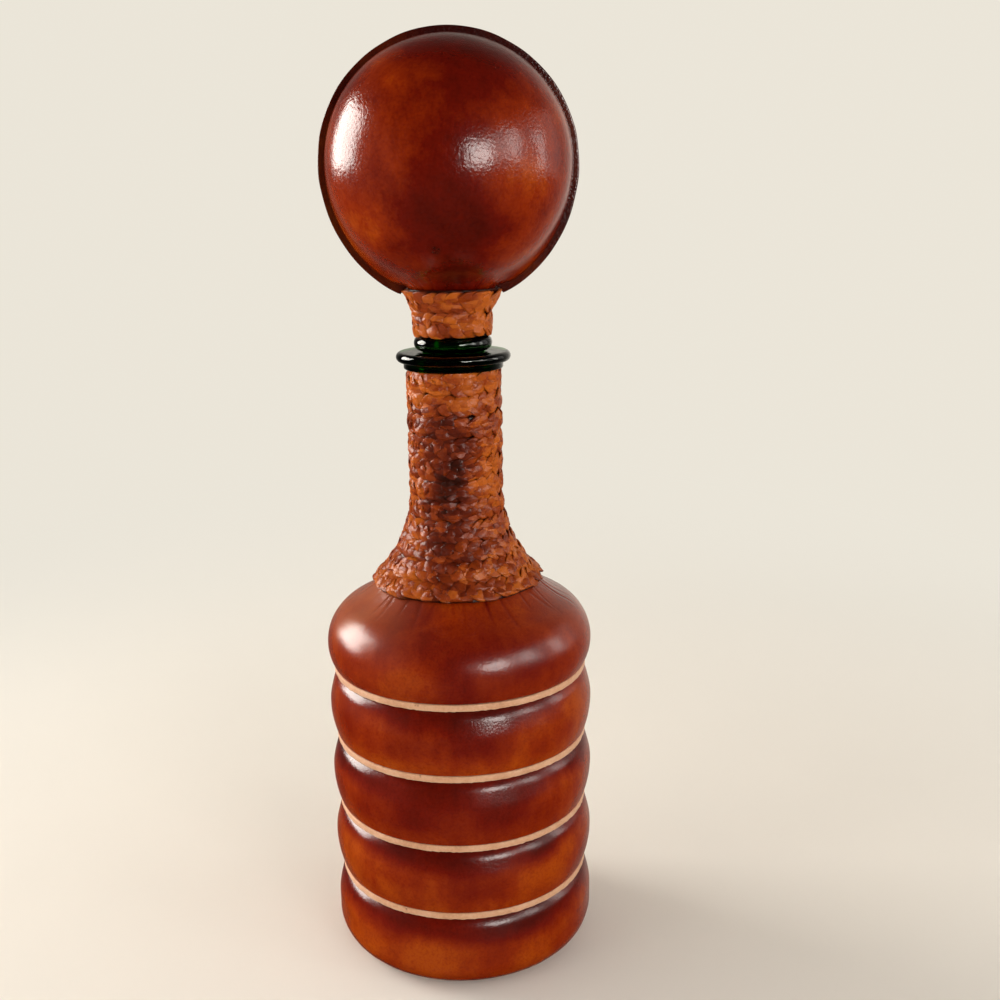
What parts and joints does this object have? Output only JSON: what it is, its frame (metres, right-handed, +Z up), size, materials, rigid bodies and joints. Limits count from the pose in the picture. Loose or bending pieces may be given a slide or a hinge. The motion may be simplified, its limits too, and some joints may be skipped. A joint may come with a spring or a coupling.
{
  "type": "leather-wrapped decanter",
  "caption": "Tall round glass decanter clad in crowned leather bands with pale laces in the grooves, a plait-wound neck and a lift-out leather-covered ball stopper.",
  "frame": {"origin": "on the table under the bottle's axis", "axes": "+Z up along the bottle's axis; the front of the ball faces -Y and the ball's seam lies in the XZ plane"},
  "size_m": [0.1152, 0.1152, 0.3924],
  "materials": {
    "green_glass": "polished dark green glass",
    "stained_leather": "antique-stained, glossy",
    "ball_leather": "antique-stained, fine pebble grain, glossy",
    "natural_leather": "undyed cut edge, matt",
    "plaited_leather": "plaited thong, stained, satin",
    "sole_leather": "plain brown leather, matt",
    "cork": "natural cork"
  },
  "bodies": {
    "bottle": {"glass_bottle": "green_glass", "base_disc": "sole_leather", "base_cover": "stained_leather", "belt_lower": "stained_leather", "belt_middle": "stained_leather", "belt_upper": "stained_leather", "shoulder_cover": "stained_leather", "groove_lace_1": "natural_leather", "groove_lace_2": "natural_leather", "groove_lace_3": "natural_leather", "groove_lace_4": "natural_leather", "neck_winding": "plaited_leather"},
    "seal": {"cork_sleeve": "cork"},
    "stopper": {"stopper_glass": "green_glass", "stopper_front_leather": "ball_leather", "stopper_back_leather": "ball_leather", "stopper_winding": "plaited_leather"}
  },
  "joints": [
    {"name": "stopper_lift", "type": "slide", "parent": "bottle", "child": "seal", "axis": [0, 0, 1], "range_m": [0, 0.045]},
    {"name": "stopper_turn", "type": "hinge", "parent": "seal", "child": "stopper", "pos_m": [0, 0, 0.25], "axis": [0, 0, 1], "continuous": true}
  ]
}
